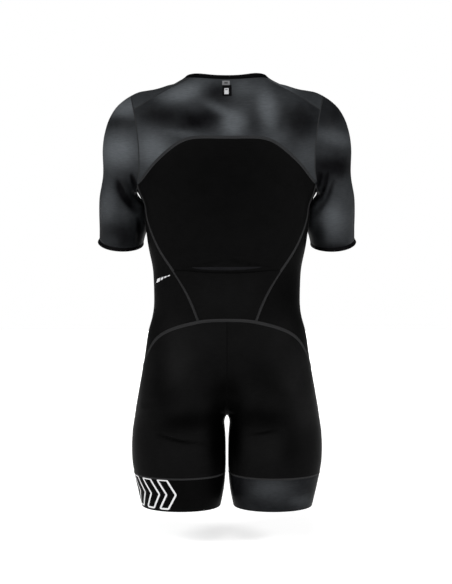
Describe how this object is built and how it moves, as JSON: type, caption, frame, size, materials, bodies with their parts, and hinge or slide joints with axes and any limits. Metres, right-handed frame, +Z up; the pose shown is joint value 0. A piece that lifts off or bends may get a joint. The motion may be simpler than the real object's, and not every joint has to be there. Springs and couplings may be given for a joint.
{
  "type": "short-sleeved one-piece triathlon suit",
  "caption": "Short-sleeved one-piece triathlon suit in worn shape, with a cloudy-print yoke and sleeves, black body, back pocket, gripper leg bands and a front zip.",
  "frame": {"origin": "middle of the neck opening at the level where it rests on the shoulders", "axes": "+Z up the worn suit, +Y out of its back, +X to the wearer's left"},
  "size_m": [0.528, 0.2362, 0.8838],
  "materials": {
    "black_knit": "black stretch knit, slight sheen",
    "print_knit": "stretch knit printed with smoky grey clouds on near-black",
    "grey_band": "stretch band printed with pale grey clouds",
    "black_band": "black stretch band with white outlined shapes",
    "trim_knit": "black folded elastic trim",
    "zip_teeth": "black moulded coil",
    "zip_tape": "black woven tape",
    "zip_metal": "dark grey enamelled zinc"
  },
  "bodies": {
    "suit": {"back_pocket": "black_knit", "back_yoke": "print_knit", "centre_back": "black_knit", "cuff_left": "trim_knit", "cuff_right": "trim_knit", "front_left": "print_knit", "front_right": "print_knit", "leg_band_left": "black_band", "leg_band_right": "grey_band", "neck_binding": "trim_knit", "neck_patch": "black_knit", "short_left": "black_knit", "short_right": "black_knit", "side_panel_left": "black_knit", "side_panel_right": "black_knit", "sleeve_left": "print_knit", "sleeve_right": "print_knit", "zip_chain": "zip_teeth", "zip_slider": "zip_metal", "zip_tape": "zip_tape"},
    "pull": {"zip_pull": "zip_metal"}
  },
  "joints": [
    {"name": "pull_swing", "type": "hinge", "parent": "suit", "child": "pull", "pos_m": [0, -0.09585, -0.09013], "axis": [-1, 0, 0], "range_deg": [0, 150]}
  ]
}
